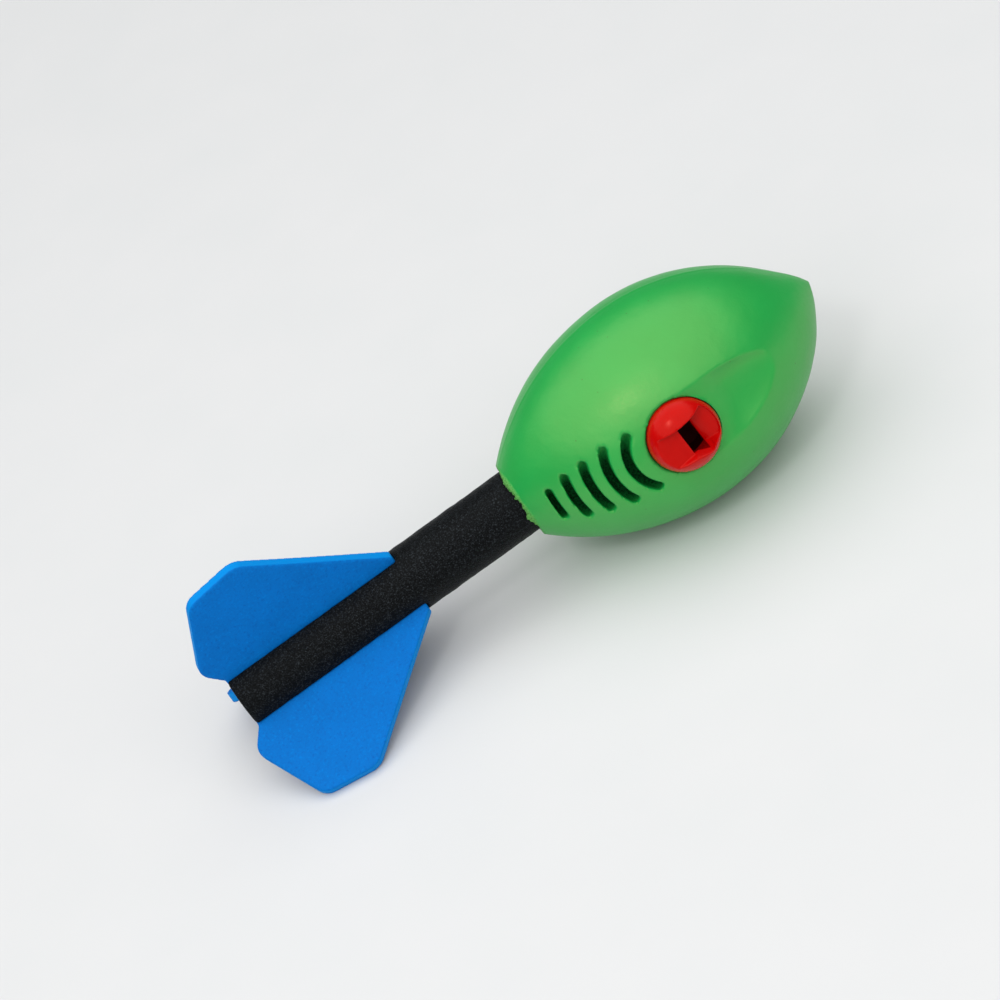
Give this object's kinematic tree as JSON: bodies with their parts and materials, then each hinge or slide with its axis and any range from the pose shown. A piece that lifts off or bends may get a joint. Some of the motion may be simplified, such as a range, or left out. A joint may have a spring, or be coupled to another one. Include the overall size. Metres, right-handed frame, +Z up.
{
  "type": "vortex throwing toy",
  "caption": "Whistling foam throwing toy: an ogive foam head with a scoop, whistle and grooves, on a foam tube with swept foam fins.",
  "frame": {"origin": "centre of the toy's footprint, on the surface that it lies on", "axes": "+Z up, +X along the toy towards its nose, which points slightly up because the head is fatter than the fins reach down"},
  "size_m": [0.2568, 0.0902, 0.0813],
  "materials": {
    "head_foam": "satin skin on moulded polyurethane foam",
    "whistle_plastic": "glossy moulded plastic",
    "tube_foam": "fine closed-cell foam, extruded",
    "fin_foam": "matte die-cut sheet foam"
  },
  "bodies": {
    "root": {"foam_body": "head_foam", "whistle_cap": "whistle_plastic", "whistle_cup": "whistle_plastic", "tail_tube": "tube_foam", "fin_top": "fin_foam", "fin_right": "fin_foam", "fin_left": "fin_foam"}
  },
  "joints": []
}
